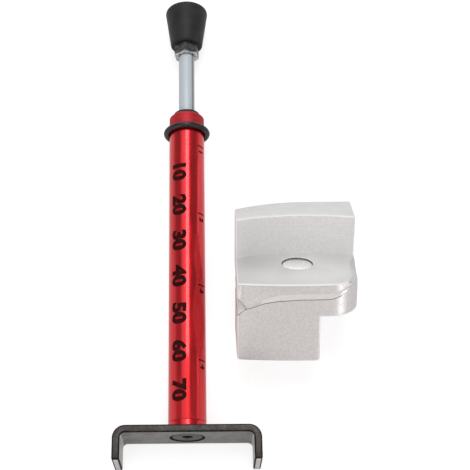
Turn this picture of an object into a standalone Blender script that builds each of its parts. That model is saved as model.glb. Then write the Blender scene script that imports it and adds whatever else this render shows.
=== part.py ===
import math

import bmesh
import bpy

# A belt tension gauge with its loose adapter block, lying on a floor at z = 0.
# All sizes are in metres. The tube points along +Y, and y = 0 is the middle of the
# cradle bar's thickness. Stations are distances along the tube from there.

# Gaps and clearances
seat_gap = 0.00025
slide_clearance = 0.0001
thread_clearance = 0.0002
cut_overrun = 0.002

# Cradle: the bent steel bracket that sits over the belt
cradle_inner_width = 0.041
cradle_thickness = 0.0024
cradle_leg_reach = 0.0083
cradle_bend_inner_radius = 0.0016
cradle_tip_radius = 0.0005
cradle_edge_round = 0.00025

# Cradle screw, countersunk with a hexagon socket
cradle_screw_head_radius = 0.005
cradle_screw_land = 0.0002
cradle_screw_radius = 0.0025
cradle_screw_length = 0.0125
cradle_screw_sink = 0.0002
cradle_countersink_margin = 0.0003
cradle_socket_across_flats = 0.003
cradle_socket_depth = 0.0018

# Tube and the plug that closes its lower end
tube_radius = 0.006
tube_wall = 0.001
tube_length = 0.10905
tube_chamfer = 0.0014
neck_length = 0.01155
plug_flange_height = 0.00185
plug_spigot_length = 0.0105
plug_lead_chamfer = 0.0005

# Guide bush pressed into the neck
rod_radius = 0.00275
bush_wall = 0.0006
bush_flange_height = 0.0003
bush_flange_overhang = 0.0007

# Travel ring on the tube
ring_cord_radius = 0.00095
ring_below_tube_top = 0.00695

# Plunger rod, with what is fixed to its lower end
rod_showing = 0.02415
rod_spigot_radius = 0.002
rod_thread_radius = 0.0024
rod_thread_in_insert = 0.0095
bumper_thickness = 0.0015
bumper_wall = 0.0016
piston_height = 0.006
piston_edge_round = 0.0004
piston_screw_radius = 0.00125
piston_screw_length = 0.009
piston_screw_head_radius = 0.0026
piston_screw_head_height = 0.0018
piston_screw_socket_across_flats = 0.002
piston_screw_socket_depth = 0.001
lock_washer_thickness = 0.0006

# Spring between the plug and the piston
spring_wire_radius = 0.0006
spring_mean_radius = 0.0038
spring_turns = 24
spring_points_per_turn = 10
spring_end_gap = 0.0005
spring_seat_thickness = 0.001
spring_seat_hole_radius = 0.003

# Jam nut, knob and the knob's threaded insert
nut_across_flats = 0.008
nut_height = 0.0038
nut_chamfer = 0.0003
nut_turn = math.radians(-8)
knob_base_radius = 0.00565
knob_base_chamfer = 0.0006
knob_widest_radius = 0.0075
knob_taper_height = 0.0137
knob_rim_radius = 0.0016
knob_dome_height = 0.0012
insert_wall = 0.0006
insert_length = 0.0115

# Adapter block. It is drawn upright: x to the right, y to its back, z up from its ledge.
# Then it leans on its two back edges.
block_width = 0.0382
block_depth = 0.0378
block_wall_height = 0.0132
block_ledge_depth = 0.0253
block_plate_thickness = 0.0108
block_foot_height = 0.0152
block_foot_width = 0.0257
block_lean = math.radians(45)
block_front_radius = 0.143
block_corner_radius = 0.009
block_back_corner_radius = 0.0012
block_back_radius = 0.046
block_wall_front_radius = 0.061
block_notch_depth = 0.0026
block_notch_top = 0.005
block_notch_tip = 0.0084
block_relief_depth = 0.0008
block_left_edge = 0.0157
block_front_edge = 0.0392

# Where the curves of the block have their middles, as shares of its width
front_apex_share = 0.52
wall_apex_share = 0.57
back_apex_share = 0.62

# The crease under the ledge: shares of the block's width and of its plate's thickness
crease_shares = (
    (0.068, 0.78),
    (0.114, 0.73),
    (0.226, 0.574),
    (0.338, 0.50),
    (0.527, 0.458),
    (0.753, 0.458),
    (0.83, 0.38),
    (0.91, 0.27),
    (0.94, 0.0),
)

# Magnet in the ledge
magnet_radius = 0.00475
magnet_thickness = 0.0024
magnet_recess = 0.0004
magnet_from_left = 0.0195
magnet_from_front = 0.0168

# Facets of round pieces
fine_sides = 48
round_sides = 32
small_sides = 24
hex_sides = 6
ring_cord_sides = 14
bend_steps = 6
arc_steps = 10

# Stations along the tube, from the cradle to the knob
bar_under = -cradle_thickness / 2
bar_top = cradle_thickness / 2
leg_tip = bar_under - cradle_leg_reach
plug_bottom = bar_top + seat_gap
plug_flange_top = plug_bottom + plug_flange_height
tube_bottom = plug_flange_top + seat_gap
plug_top = tube_bottom + plug_spigot_length
tube_top = tube_bottom + tube_length
neck_under = tube_top - neck_length
ring_station = tube_top - ring_below_tube_top
bush_flange_bottom = tube_top + seat_gap
bush_flange_top = bush_flange_bottom + bush_flange_height
bumper_top = neck_under - seat_gap
bumper_bottom = bumper_top - bumper_thickness
piston_top = bumper_bottom - seat_gap
piston_bottom = piston_top - piston_height
rod_shoulder = piston_top + seat_gap
rod_bottom = piston_bottom + seat_gap
washer_top = piston_bottom - seat_gap
washer_bottom = washer_top - lock_washer_thickness
piston_screw_seat = washer_bottom - seat_gap
piston_screw_tip = piston_screw_seat + piston_screw_length
spring_seat_bottom = plug_top + seat_gap
spring_seat_top = spring_seat_bottom + spring_seat_thickness
spring_bottom = spring_seat_top + seat_gap
spring_top = piston_bottom - seat_gap
rod_collar_top = tube_top + rod_showing
nut_bottom = rod_collar_top + seat_gap
nut_top = nut_bottom + nut_height
knob_bottom = nut_top + seat_gap
knob_widest = knob_bottom + knob_taper_height
insert_top = knob_bottom + insert_length
rod_top = knob_bottom + rod_thread_in_insert

# Radii that follow from the pieces they fit
tube_bore_radius = tube_radius - tube_wall
bush_bore_radius = rod_radius + slide_clearance
bush_radius = bush_bore_radius + bush_wall
neck_hole_radius = bush_radius + slide_clearance
bush_flange_radius = bush_radius + bush_flange_overhang
sliding_radius = tube_bore_radius - slide_clearance * 2
plug_spigot_radius = tube_bore_radius - slide_clearance
ring_centre_radius = tube_radius + slide_clearance + ring_cord_radius
ring_outer_radius = ring_centre_radius + ring_cord_radius
insert_bore_radius = rod_thread_radius + slide_clearance
insert_radius = insert_bore_radius + insert_wall

# The cradle is as deep as the travel ring, so the tube lies level on the floor
cradle_depth = ring_outer_radius * 2
axis_height = cradle_depth / 2


def finish(name, colour, roughness, metallic):
    material = bpy.data.materials.new(name)
    material.use_nodes = True
    shader = material.node_tree.nodes["Principled BSDF"]
    shader.inputs["Base Color"].default_value = (*colour, 1)
    shader.inputs["Roughness"].default_value = roughness
    shader.inputs["Metallic"].default_value = metallic
    return material


def empty(name, parent=None):
    holder = bpy.data.objects.new(name, None)
    bpy.context.collection.objects.link(holder)
    holder.parent = parent
    return holder


def solid(name, mesh_tool, material, parent):
    # Closes off a mesh in the making and puts it in the scene as a named object.
    bmesh.ops.recalc_face_normals(mesh_tool, faces=mesh_tool.faces)
    mesh = bpy.data.meshes.new(name)
    mesh_tool.to_mesh(mesh)
    mesh_tool.free()
    mesh.shade_smooth()
    mesh.set_sharp_from_angle(angle=sharp_angle)
    piece = bpy.data.objects.new(name, mesh)
    bpy.context.collection.objects.link(piece)
    piece.parent = parent
    if material:
        mesh.materials.append(material)
    else:
        piece.hide_render = True
        piece.display_type = "WIRE"
    return piece


def turned(name, profile, sides, material, parent, closed=True, turn=0):
    # Spins a profile of (radius, station) points about the local Z axis. An open profile
    # starts and ends on the axis.
    mesh_tool = bmesh.new()
    start = (math.cos(turn), math.sin(turn))
    verts = [mesh_tool.verts.new((r * start[0], r * start[1], s)) for r, s in profile]
    edges = [mesh_tool.edges.new(pair) for pair in zip(verts, verts[1:])]
    if closed:
        edges.append(mesh_tool.edges.new((verts[-1], verts[0])))
    bmesh.ops.spin(
        mesh_tool,
        geom=verts + edges,
        cent=(0, 0, 0),
        axis=(0, 0, 1),
        angle=math.tau,
        steps=sides,
        use_merge=False,
    )
    bmesh.ops.remove_doubles(mesh_tool, verts=mesh_tool.verts, dist=merge_distance)
    bmesh.ops.dissolve_degenerate(mesh_tool, edges=mesh_tool.edges, dist=merge_distance)
    return solid(name, mesh_tool, material, parent)


def prism(name, outline, low, high, material, parent, along="Z"):
    # Extrudes an outline along the local Z axis, or along Y with its points in X and Z.
    mesh_tool = bmesh.new()
    if along == "Z":
        places = [(a, b, low) for a, b in outline]
        step = (0, 0, high - low)
    else:
        places = [(a, low, b) for a, b in outline]
        step = (0, high - low, 0)
    face = mesh_tool.faces.new([mesh_tool.verts.new(place) for place in places])
    grown = bmesh.ops.extrude_face_region(mesh_tool, geom=[face])
    far = [item for item in grown["geom"] if isinstance(item, bmesh.types.BMVert)]
    bmesh.ops.translate(mesh_tool, verts=far, vec=step)
    return solid(name, mesh_tool, material, parent)


def cut(piece, cutter):
    boolean = piece.modifiers.new("cut by " + cutter.name, "BOOLEAN")
    boolean.operation = "DIFFERENCE"
    boolean.solver = "EXACT"
    boolean.object = cutter


def rounded(piece, width, segments):
    bevel = piece.modifiers.new("rounded edges", "BEVEL")
    bevel.width = width
    bevel.segments = segments
    bevel.limit_method = "ANGLE"
    bevel.angle_limit = bevel_angle


def arc(centre, radius, first, last, steps):
    # Points round a centre, with angles from the +X direction.
    points = []
    for step in range(steps + 1):
        angle = first + (last - first) * step / steps
        points.append((centre[0] + radius * math.cos(angle), centre[1] + radius * math.sin(angle)))
    return points


def hexagon_radius(across_flats):
    return across_flats / 2 / math.cos(math.pi / hex_sides)


def make_cradle(parent):
    # Each side of the outline runs from a leg's tip, round its bend, to the bar.
    inner = cradle_inner_width / 2
    outer = inner + cradle_thickness
    bend = cradle_bend_inner_radius
    outer_bend = bend + cradle_thickness
    right_middle = (inner - bend, bar_under - bend)
    left_middle = (-right_middle[0], right_middle[1])
    outline = [(outer, leg_tip)]
    outline += arc(right_middle, outer_bend, 0, math.pi / 2, bend_steps)
    outline += arc(left_middle, outer_bend, math.pi / 2, math.pi, bend_steps)
    outline += [(-outer, leg_tip), (-inner, leg_tip)]
    outline += arc(left_middle, bend, math.pi, math.pi / 2, bend_steps)
    outline += arc(right_middle, bend, math.pi / 2, 0, bend_steps)
    outline += [(inner, leg_tip)]
    half = cradle_depth / 2
    cradle = prism("cradle", outline, -half, half, black_steel, parent, along="Y")
    round_leg_tips(cradle)
    rounded(cradle, cradle_edge_round, 1)
    # The countersink is a full cone through the bar.
    low = bar_under - cut_overrun
    high = bar_top + cut_overrun
    cone = [(0, low), (countersink_radius(low), low), (countersink_radius(high), high), (0, high)]
    cut(cradle, turned("countersink_cutter", cone, round_sides, None, parent, closed=False))


def countersink_radius(station):
    mouth = cradle_screw_head_radius + cradle_countersink_margin + cradle_screw_sink
    return mouth - (station - bar_under)


def round_leg_tips(cradle):
    mesh_tool = bmesh.new()
    mesh_tool.from_mesh(cradle.data)
    corners = [
        edge
        for edge in mesh_tool.edges
        if all(abs(vert.co.z - leg_tip) < merge_distance for vert in edge.verts)
        and abs(edge.verts[0].co.y - edge.verts[1].co.y) < merge_distance
    ]
    bmesh.ops.bevel(
        mesh_tool,
        geom=corners,
        offset=cradle_tip_radius,
        segments=4,
        profile=0.5,
        affect="EDGES",
    )
    mesh_tool.to_mesh(cradle.data)
    mesh_tool.free()


def make_cradle_screw(parent):
    head = bar_under + cradle_screw_sink
    cone_top = head + cradle_screw_land + cradle_screw_head_radius - cradle_screw_radius
    profile = [
        (0, head),
        (cradle_screw_head_radius, head),
        (cradle_screw_head_radius, head + cradle_screw_land),
        (cradle_screw_radius, cone_top),
        (cradle_screw_radius, head + cradle_screw_length),
        (0, head + cradle_screw_length),
    ]
    screw = turned("cradle_screw", profile, round_sides, black_steel, parent, closed=False)
    cut_socket(screw, cradle_socket_across_flats, head, cradle_socket_depth, parent)


def cut_socket(screw, across_flats, face, depth, parent):
    # A hexagon socket that opens downwards, towards the cradle.
    corner = hexagon_radius(across_flats)
    outline = arc((0, 0), corner, 0, math.tau * (hex_sides - 1) / hex_sides, hex_sides - 1)
    name = screw.name + "_socket_cutter"
    cut(screw, prism(name, outline, face - cut_overrun, face + depth, None, parent))


def make_end_plug(parent):
    # The countersink of the bar runs on into the plug, where the screw's cone reaches it.
    bore = cradle_screw_radius + thread_clearance
    mouth = max(countersink_radius(plug_bottom), bore + plug_lead_chamfer)
    chamfered = plug_spigot_radius - plug_lead_chamfer
    profile = [
        (bore, plug_bottom + mouth - bore),
        (mouth, plug_bottom),
        (tube_radius, plug_bottom),
        (tube_radius, plug_flange_top),
        (plug_spigot_radius, plug_flange_top),
        (plug_spigot_radius, plug_top - plug_lead_chamfer),
        (chamfered, plug_top),
        (bore, plug_top),
    ]
    turned("end_plug", profile, fine_sides, red_anodised, parent)


def make_tube(parent):
    profile = [
        (tube_bore_radius, tube_bottom),
        (tube_radius, tube_bottom),
        (tube_radius, tube_top - tube_chamfer),
        (tube_radius - tube_chamfer, tube_top),
        (neck_hole_radius, tube_top),
        (neck_hole_radius, neck_under),
        (tube_bore_radius, neck_under),
    ]
    turned("tube", profile, fine_sides, red_anodised, parent)


def make_guide_bush(parent):
    profile = [
        (bush_bore_radius, neck_under),
        (bush_radius, neck_under),
        (bush_radius, bush_flange_bottom),
        (bush_flange_radius, bush_flange_bottom),
        (bush_flange_radius, bush_flange_top),
        (bush_bore_radius, bush_flange_top),
    ]
    turned("guide_bush", profile, round_sides, black_nylon, parent)


def make_travel_ring(parent):
    # The half step puts a flat of the cord against the tube.
    half_step = math.pi / ring_cord_sides
    profile = [
        (ring_centre_radius + a, ring_station + b)
        for a, b in arc((0, 0), ring_cord_radius, 0, math.tau - half_step * 2, ring_cord_sides - 1)
    ]
    turned("travel_ring", profile, fine_sides, black_rubber, parent)


def washer(name, inner, outer, low, high, sides, material, parent):
    profile = [(inner, low), (outer, low), (outer, high), (inner, high)]
    turned(name, profile, sides, material, parent)


def make_piston(parent):
    hole = rod_spigot_radius + slide_clearance
    inset = sliding_radius - piston_edge_round
    profile = [
        (hole, piston_bottom),
        (inset, piston_bottom),
        (sliding_radius, piston_bottom + piston_edge_round),
        (sliding_radius, piston_top - piston_edge_round),
        (inset, piston_top),
        (hole, piston_top),
    ]
    turned("piston", profile, fine_sides, brass, parent)


def make_plunger_rod(parent):
    # The lower end is a spigot with a threaded hole for the piston screw.
    hole = piston_screw_radius + thread_clearance
    hole_end = piston_screw_tip + seat_gap
    profile = [
        (0, hole_end),
        (hole, hole_end),
        (hole, rod_bottom),
        (rod_spigot_radius, rod_bottom),
        (rod_spigot_radius, rod_shoulder),
        (rod_radius, rod_shoulder),
        (rod_radius, rod_collar_top),
        (rod_thread_radius, rod_collar_top),
        (rod_thread_radius, rod_top),
        (0, rod_top),
    ]
    turned("plunger_rod", profile, round_sides, bright_steel, parent, closed=False)


def make_piston_screw(parent):
    head_bottom = piston_screw_seat - piston_screw_head_height
    profile = [
        (0, head_bottom),
        (piston_screw_head_radius, head_bottom),
        (piston_screw_head_radius, piston_screw_seat),
        (piston_screw_radius, piston_screw_seat),
        (piston_screw_radius, piston_screw_tip),
        (0, piston_screw_tip),
    ]
    screw = turned("piston_screw", profile, small_sides, bright_steel, parent, closed=False)
    across = piston_screw_socket_across_flats
    cut_socket(screw, across, head_bottom, piston_screw_socket_depth, parent)


def spring_path():
    # Closed end turns keep a set gap, and the turns between share what is left.
    wire = spring_wire_radius * 2
    low = spring_bottom + spring_wire_radius
    high = spring_top - spring_wire_radius
    end_pitch = wire + spring_end_gap
    middle_pitch = (high - low - end_pitch * 2) / (spring_turns - 2)
    points = []
    for step in range(spring_turns * spring_points_per_turn + 1):
        turns = step / spring_points_per_turn
        first_part = min(turns, 1) * end_pitch
        middle_part = min(max(turns - 1, 0), spring_turns - 2) * middle_pitch
        last_part = max(turns - (spring_turns - 1), 0) * end_pitch
        angle = math.tau * turns
        x = spring_mean_radius * math.cos(angle)
        y = spring_mean_radius * math.sin(angle)
        points.append((x, y, low + first_part + middle_part + last_part))
    return points


def make_spring(parent):
    points = spring_path()
    curve = bpy.data.curves.new("spring", "CURVE")
    curve.dimensions = "3D"
    curve.bevel_depth = spring_wire_radius
    curve.bevel_resolution = 1
    curve.use_fill_caps = True
    spline = curve.splines.new("POLY")
    spline.points.add(len(points) - 1)
    for point, place in zip(spline.points, points):
        point.co = (*place, 1)
    spring = bpy.data.objects.new("spring", curve)
    bpy.context.collection.objects.link(spring)
    curve.materials.append(bright_steel)
    spring.parent = parent
    a_turn_away = zip(points, points[spring_points_per_turn:])
    least = min(math.dist(a, b) for a, b in a_turn_away) - spring_wire_radius * 2
    print("least gap between the spring's turns, metres:", round(least, 6))


def make_jam_nut(parent):
    corner = hexagon_radius(nut_across_flats)
    # A corner of the hexagon points up, turned by a few degrees.
    first = -math.pi / 2 + nut_turn
    outline = arc((0, 0), corner, first, first + math.tau * (hex_sides - 1) / hex_sides, hex_sides - 1)
    nut = prism("jam_nut", outline, nut_bottom, nut_top, bright_steel, parent)
    rounded(nut, nut_chamfer, 1)
    hole = rod_thread_radius + slide_clearance
    low = nut_bottom - cut_overrun
    high = nut_top + cut_overrun
    bore = [(0, low), (hole, low), (hole, high), (0, high)]
    cut(nut, turned("nut_bore_cutter", bore, small_sides, None, parent, closed=False))


def make_knob(parent):
    pocket = insert_radius + slide_clearance
    pocket_top = insert_top + seat_gap
    rim_middle = (knob_widest_radius - knob_rim_radius, knob_widest)
    profile = [
        (0, pocket_top),
        (pocket, pocket_top),
        (pocket, knob_bottom),
        (knob_base_radius - knob_base_chamfer, knob_bottom),
        (knob_base_radius, knob_bottom + knob_base_chamfer),
    ]
    # The rim turns over a quarter circle, and a flat dome closes the top.
    profile += arc(rim_middle, knob_rim_radius, 0, math.pi / 2, bend_steps)
    dome_base = knob_widest + knob_rim_radius
    dome_edge = rim_middle[0]
    dome_steps = 4
    for step in range(1, dome_steps + 1):
        angle = math.pi / 2 * step / dome_steps
        profile.append((dome_edge * math.cos(angle), dome_base + knob_dome_height * math.sin(angle)))
    profile[-1] = (0, profile[-1][1])
    turned("knob", profile, fine_sides, black_rubber, parent, closed=False)


def make_knob_insert(parent):
    # The insert's own gap below keeps it off the nut.
    inner = insert_bore_radius
    washer("knob_insert", inner, insert_radius, knob_bottom, insert_top, small_sides, brass, parent)


def block_outline(inset):
    # The block seen from above its ledge. The inset makes a smaller outline inside it.
    right = block_width - inset
    back = block_depth - inset
    apex = block_width * front_apex_share
    front_middle = (apex, block_front_radius)
    reach = block_front_radius - block_corner_radius
    corner_x = block_width - block_corner_radius
    corner_y = block_front_radius - math.sqrt(reach**2 - (corner_x - apex) ** 2)
    radius = block_front_radius - inset
    first = math.asin((inset - apex) / radius)
    meeting = math.atan2(corner_x - apex, block_front_radius - corner_y)
    quarter = math.pi / 2
    points = arc(front_middle, radius, first - quarter, meeting - quarter, arc_steps)
    corner = (corner_x, corner_y)
    points += arc(corner, block_corner_radius - inset, meeting - quarter, 0, arc_steps)[1:]
    small = block_back_corner_radius
    points += arc((right - small, back - small), small, 0, quarter, 3)
    back_apex = block_width * back_apex_share
    back_middle = (back_apex, back - block_back_radius)
    left_end = quarter + math.asin((back_apex - inset) / block_back_radius)
    points += arc(back_middle, block_back_radius, quarter, left_end, arc_steps)
    return points


def wall_front_arc():
    # The wall's front face is hollow: deepest at its apex, nearer at both ends.
    apex = block_width * wall_apex_share
    middle = (apex, block_ledge_depth - block_wall_front_radius)
    right = math.asin((block_width + cut_overrun - apex) / block_wall_front_radius)
    left = math.asin((apex + cut_overrun) / block_wall_front_radius)
    quarter = math.pi / 2
    return arc(middle, block_wall_front_radius, quarter - right, quarter + left, arc_steps)


def make_adapter_block(parent):
    foot_bottom = -block_plate_thickness - block_foot_height
    foot_depth = block_depth - block_foot_height / math.tan(block_lean)
    block = prism(
        "adapter_block", block_outline(0), foot_bottom, block_wall_height, satin_aluminium, parent
    )
    over_right = block_width + cut_overrun
    over_back = block_depth + cut_overrun
    over = -cut_overrun

    ledge = [(over, over), (over_right, over)] + wall_front_arc()
    above = block_wall_height + cut_overrun
    cut(block, prism("ledge_cutter", ledge, 0, above, None, parent))

    under_plate = [
        (block_foot_width, over),
        (over_right, over),
        (over_right, over_back),
        (over, over_back),
        (over, foot_depth),
        (block_foot_width, foot_depth),
    ]
    below = foot_bottom - cut_overrun
    plate_bottom = -block_plate_thickness
    cut(block, prism("under_plate_cutter", under_plate, below, plate_bottom, None, parent))

    # The notch's flanks are carried past the side face along their own slopes.
    top_slope = (block_notch_tip - block_notch_top) / block_notch_depth
    low_slope = (block_plate_thickness - block_notch_tip) / block_notch_depth
    notch = [
        (block_notch_depth, -block_notch_tip),
        (over, -block_notch_top + cut_overrun * top_slope),
        (over, -block_plate_thickness - cut_overrun * low_slope),
    ]
    cut(block, prism("notch_cutter", notch, over, over_back, None, parent, along="Y"))

    crease = [(block_width * a, -block_plate_thickness * b) for a, b in crease_shares]
    first_drop = crease[0][1]
    last_place = crease[-1][0]
    relief = [(over, cut_overrun), (over, first_drop)] + crease + [(last_place, cut_overrun)]
    reach = block_corner_radius
    relief_cutter = prism("relief_cutter", relief, over, reach, None, parent, along="Y")
    core = prism(
        "relief_core_cutter",
        block_outline(block_relief_depth),
        below,
        above,
        None,
        parent,
    )
    cut(relief_cutter, core)
    cut(block, relief_cutter)

    pocket_radius = magnet_radius + slide_clearance
    pocket_depth = magnet_recess + magnet_thickness + seat_gap
    pocket = [
        (0, -pocket_depth),
        (pocket_radius, -pocket_depth),
        (pocket_radius, cut_overrun),
        (0, cut_overrun),
    ]
    pocket_cutter = turned("magnet_pocket_cutter", pocket, round_sides, None, parent, closed=False)
    pocket_cutter.location = (magnet_from_left, magnet_from_front, 0)
    cut(block, pocket_cutter)


def make_magnet(parent):
    top = -magnet_recess
    low = top - magnet_thickness
    profile = [(0, low), (magnet_radius, low), (magnet_radius, top), (0, top)]
    magnet = turned("magnet", profile, round_sides, plated_magnet, parent, closed=False)
    magnet.location = (magnet_from_left, magnet_from_front, 0)


for old in list(bpy.data.objects):
    bpy.data.objects.remove(old)

sharp_angle = math.radians(35)
bevel_angle = math.radians(40)
merge_distance = 0.000001

red_anodised = finish("red_anodised", (0.62, 0.02, 0.03), 0.3, 0.9)
black_steel = finish("black_steel", (0.06, 0.055, 0.05), 0.5, 0.6)
black_nylon = finish("black_nylon", (0.02, 0.02, 0.02), 0.5, 0)
black_rubber = finish("black_rubber", (0.03, 0.03, 0.032), 0.6, 0)
bright_steel = finish("bright_steel", (0.75, 0.78, 0.8), 0.2, 1)
brass = finish("brass", (0.7, 0.55, 0.25), 0.35, 1)
satin_aluminium = finish("satin_aluminium", (0.78, 0.78, 0.77), 0.4, 0.9)
plated_magnet = finish("plated_magnet", (0.85, 0.85, 0.84), 0.2, 1)

# The tube's axis: its local Z runs along the world's +Y.
gauge_axis = empty("gauge_axis")
gauge_axis.location = (0, 0, axis_height)
gauge_axis.rotation_euler = (-math.pi / 2, 0, 0)
plunger_axis = empty("plunger_axis", gauge_axis)
ring_axis = empty("ring_axis", gauge_axis)

make_cradle(gauge_axis)
make_cradle_screw(gauge_axis)
make_end_plug(gauge_axis)
make_tube(gauge_axis)
make_guide_bush(gauge_axis)
washer(
    "spring_seat",
    spring_seat_hole_radius,
    sliding_radius,
    spring_seat_bottom,
    spring_seat_top,
    round_sides,
    bright_steel,
    gauge_axis,
)
make_spring(gauge_axis)
make_travel_ring(ring_axis)

make_plunger_rod(plunger_axis)
washer(
    "bumper",
    rod_radius + slide_clearance,
    rod_radius + slide_clearance + bumper_wall,
    bumper_bottom,
    bumper_top,
    round_sides,
    black_rubber,
    plunger_axis,
)
make_piston(plunger_axis)
washer(
    "lock_washer",
    piston_screw_radius + thread_clearance,
    piston_screw_head_radius,
    washer_bottom,
    washer_top,
    small_sides,
    bright_steel,
    plunger_axis,
)
make_piston_screw(plunger_axis)
make_jam_nut(plunger_axis)
make_knob(plunger_axis)
make_knob_insert(plunger_axis)

# The block's lean turns its back down, and the lower back edges of plate and foot
# then touch the floor together.
block_axis = empty("block_axis")
back_drop = block_depth * math.sin(block_lean) + block_plate_thickness * math.cos(block_lean)
block_axis.location = (block_left_edge, block_front_edge, back_drop)
block_axis.rotation_euler = (-block_lean, 0, 0)
make_adapter_block(block_axis)
make_magnet(block_axis)

bpy.context.view_layer.update()
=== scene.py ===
import math
import bpy
from mathutils import Matrix, Vector


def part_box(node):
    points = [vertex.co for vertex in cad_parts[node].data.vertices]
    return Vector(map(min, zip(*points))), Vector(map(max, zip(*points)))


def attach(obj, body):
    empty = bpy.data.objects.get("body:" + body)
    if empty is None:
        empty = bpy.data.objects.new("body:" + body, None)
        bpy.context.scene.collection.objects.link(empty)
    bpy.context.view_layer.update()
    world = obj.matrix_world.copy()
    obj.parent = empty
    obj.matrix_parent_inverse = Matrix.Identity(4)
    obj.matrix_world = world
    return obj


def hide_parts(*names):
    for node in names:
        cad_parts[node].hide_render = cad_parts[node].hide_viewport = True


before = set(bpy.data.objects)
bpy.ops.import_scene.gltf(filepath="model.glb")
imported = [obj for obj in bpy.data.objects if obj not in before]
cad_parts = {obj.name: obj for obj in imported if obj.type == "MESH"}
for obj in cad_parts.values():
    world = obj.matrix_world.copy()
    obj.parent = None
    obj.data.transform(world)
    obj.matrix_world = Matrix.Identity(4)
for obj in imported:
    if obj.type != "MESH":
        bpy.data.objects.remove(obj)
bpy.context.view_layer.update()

mm = 0.001
quarterTurn = math.pi / 2
seatGap = 0.25 * mm  # what the solids leave between faces that touch
hair = 0.01 * mm  # faces that differ by less than this lie level
speck = 0.001 * mm  # and points this close are one


# Where the frame puts things

def boxMiddle(node):
    low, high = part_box(node)
    return (low + high) / 2


def nodeRadius(node):
    low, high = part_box(node)
    return (high.x - low.x) / 2


def nodeLow(node):
    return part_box(node)[0].y


def nodeHigh(node):
    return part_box(node)[1].y


tubeAxis = boxMiddle("tube")
tubeRadius = nodeRadius("tube")


# Shared steps

def addShape(name, add, **settings):
    bpy.ops.object.select_all(action="DESELECT")
    add(**settings)
    piece = bpy.context.active_object
    piece.name = name
    return piece


def setInputs(node, values):
    for entry, value in values.items():
        node.inputs[entry].default_value = value


def newNode(nodes, kind, values=None, **settings):
    # the settings go first, because they decide which sockets are in use
    node = nodes.new("ShaderNode" + kind)
    for setting, value in settings.items():
        setattr(node, setting, value)
    setInputs(node, values or {})
    return node


def wire(source, output, target, entry):
    source.id_data.links.new(source.outputs[output], target.inputs[entry])


def newMaterial(name):
    material = bpy.data.materials.new(name)
    material.use_nodes = True
    nodes = material.node_tree.nodes
    return material, nodes, nodes["Principled BSDF"]


# Camera, floor and light

def lookFrom(target, elevation, distance, roll):
    away = Vector((0, -math.cos(elevation), math.sin(elevation)))
    right = Vector((1, 0, 0))
    up = away.cross(right)
    turned = Matrix((right, up, away)).transposed().to_4x4()
    place = Matrix.Translation(target + away * distance)
    return place @ turned @ Matrix.Rotation(-roll, 4, "Z")


def makeCamera():
    look = {
        "pictureWidth": 470,
        "focalPixels": 1150,
        "principalColumn": 205,
        "sensorWidth": 36,
        "elevation": math.radians(66.6),
        "roll": math.radians(0.5),
        "distance": 384.5 * mm,
        "target": Vector((6.02 * mm, 67.41 * mm, 8 * mm)),
    }
    camera = addShape("photoCamera", bpy.ops.object.camera_add)
    camera.matrix_world = lookFrom(look["target"], look["elevation"], look["distance"], look["roll"])
    camera.data.sensor_width = look["sensorWidth"]
    camera.data.lens = look["focalPixels"] * look["sensorWidth"] / look["pictureWidth"]
    camera.data.shift_x = 0.5 - look["principalColumn"] / look["pictureWidth"]
    camera.data.clip_start = 10 * mm
    bpy.context.scene.camera = camera


def makeFloor():
    look = {
        "size": 4.0, "sides": 96, "drop": 0.05 * mm, "colour": 0.5, "roughness": 0.9,
        "cameraGlow": 0.72, "mirrorGlow": 0.28,
    }
    floor = addShape(
        "studioFloor", bpy.ops.mesh.primitive_circle_add, vertices=look["sides"], radius=look["size"],
        fill_type="NGON", location=(0, 0, -look["drop"]),
    )
    material, nodes, shader = newMaterial("paleFloor")
    setInputs(shader, {
        "Base Color": (*[look["colour"]] * 3, 1), "Roughness": look["roughness"],
        "Specular IOR Level": 0, "Emission Color": (1, 1, 1, 1),
    })
    path = newNode(nodes, "LightPath")
    mirrored = newNode(nodes, "Math", operation="MAXIMUM")
    glow = newNode(nodes, "Math", {1: look["mirrorGlow"]}, operation="MULTIPLY")
    total = newNode(nodes, "Math", {1: look["cameraGlow"]}, operation="MULTIPLY_ADD")
    wire(path, "Is Glossy Ray", mirrored, 0)
    wire(path, "Is Transmission Ray", mirrored, 1)
    wire(mirrored, 0, glow, 0)
    wire(path, "Is Camera Ray", total, 0)
    wire(glow, 0, total, 2)
    wire(total, 0, shader, "Emission Strength")
    floor.data.materials.append(material)


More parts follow.
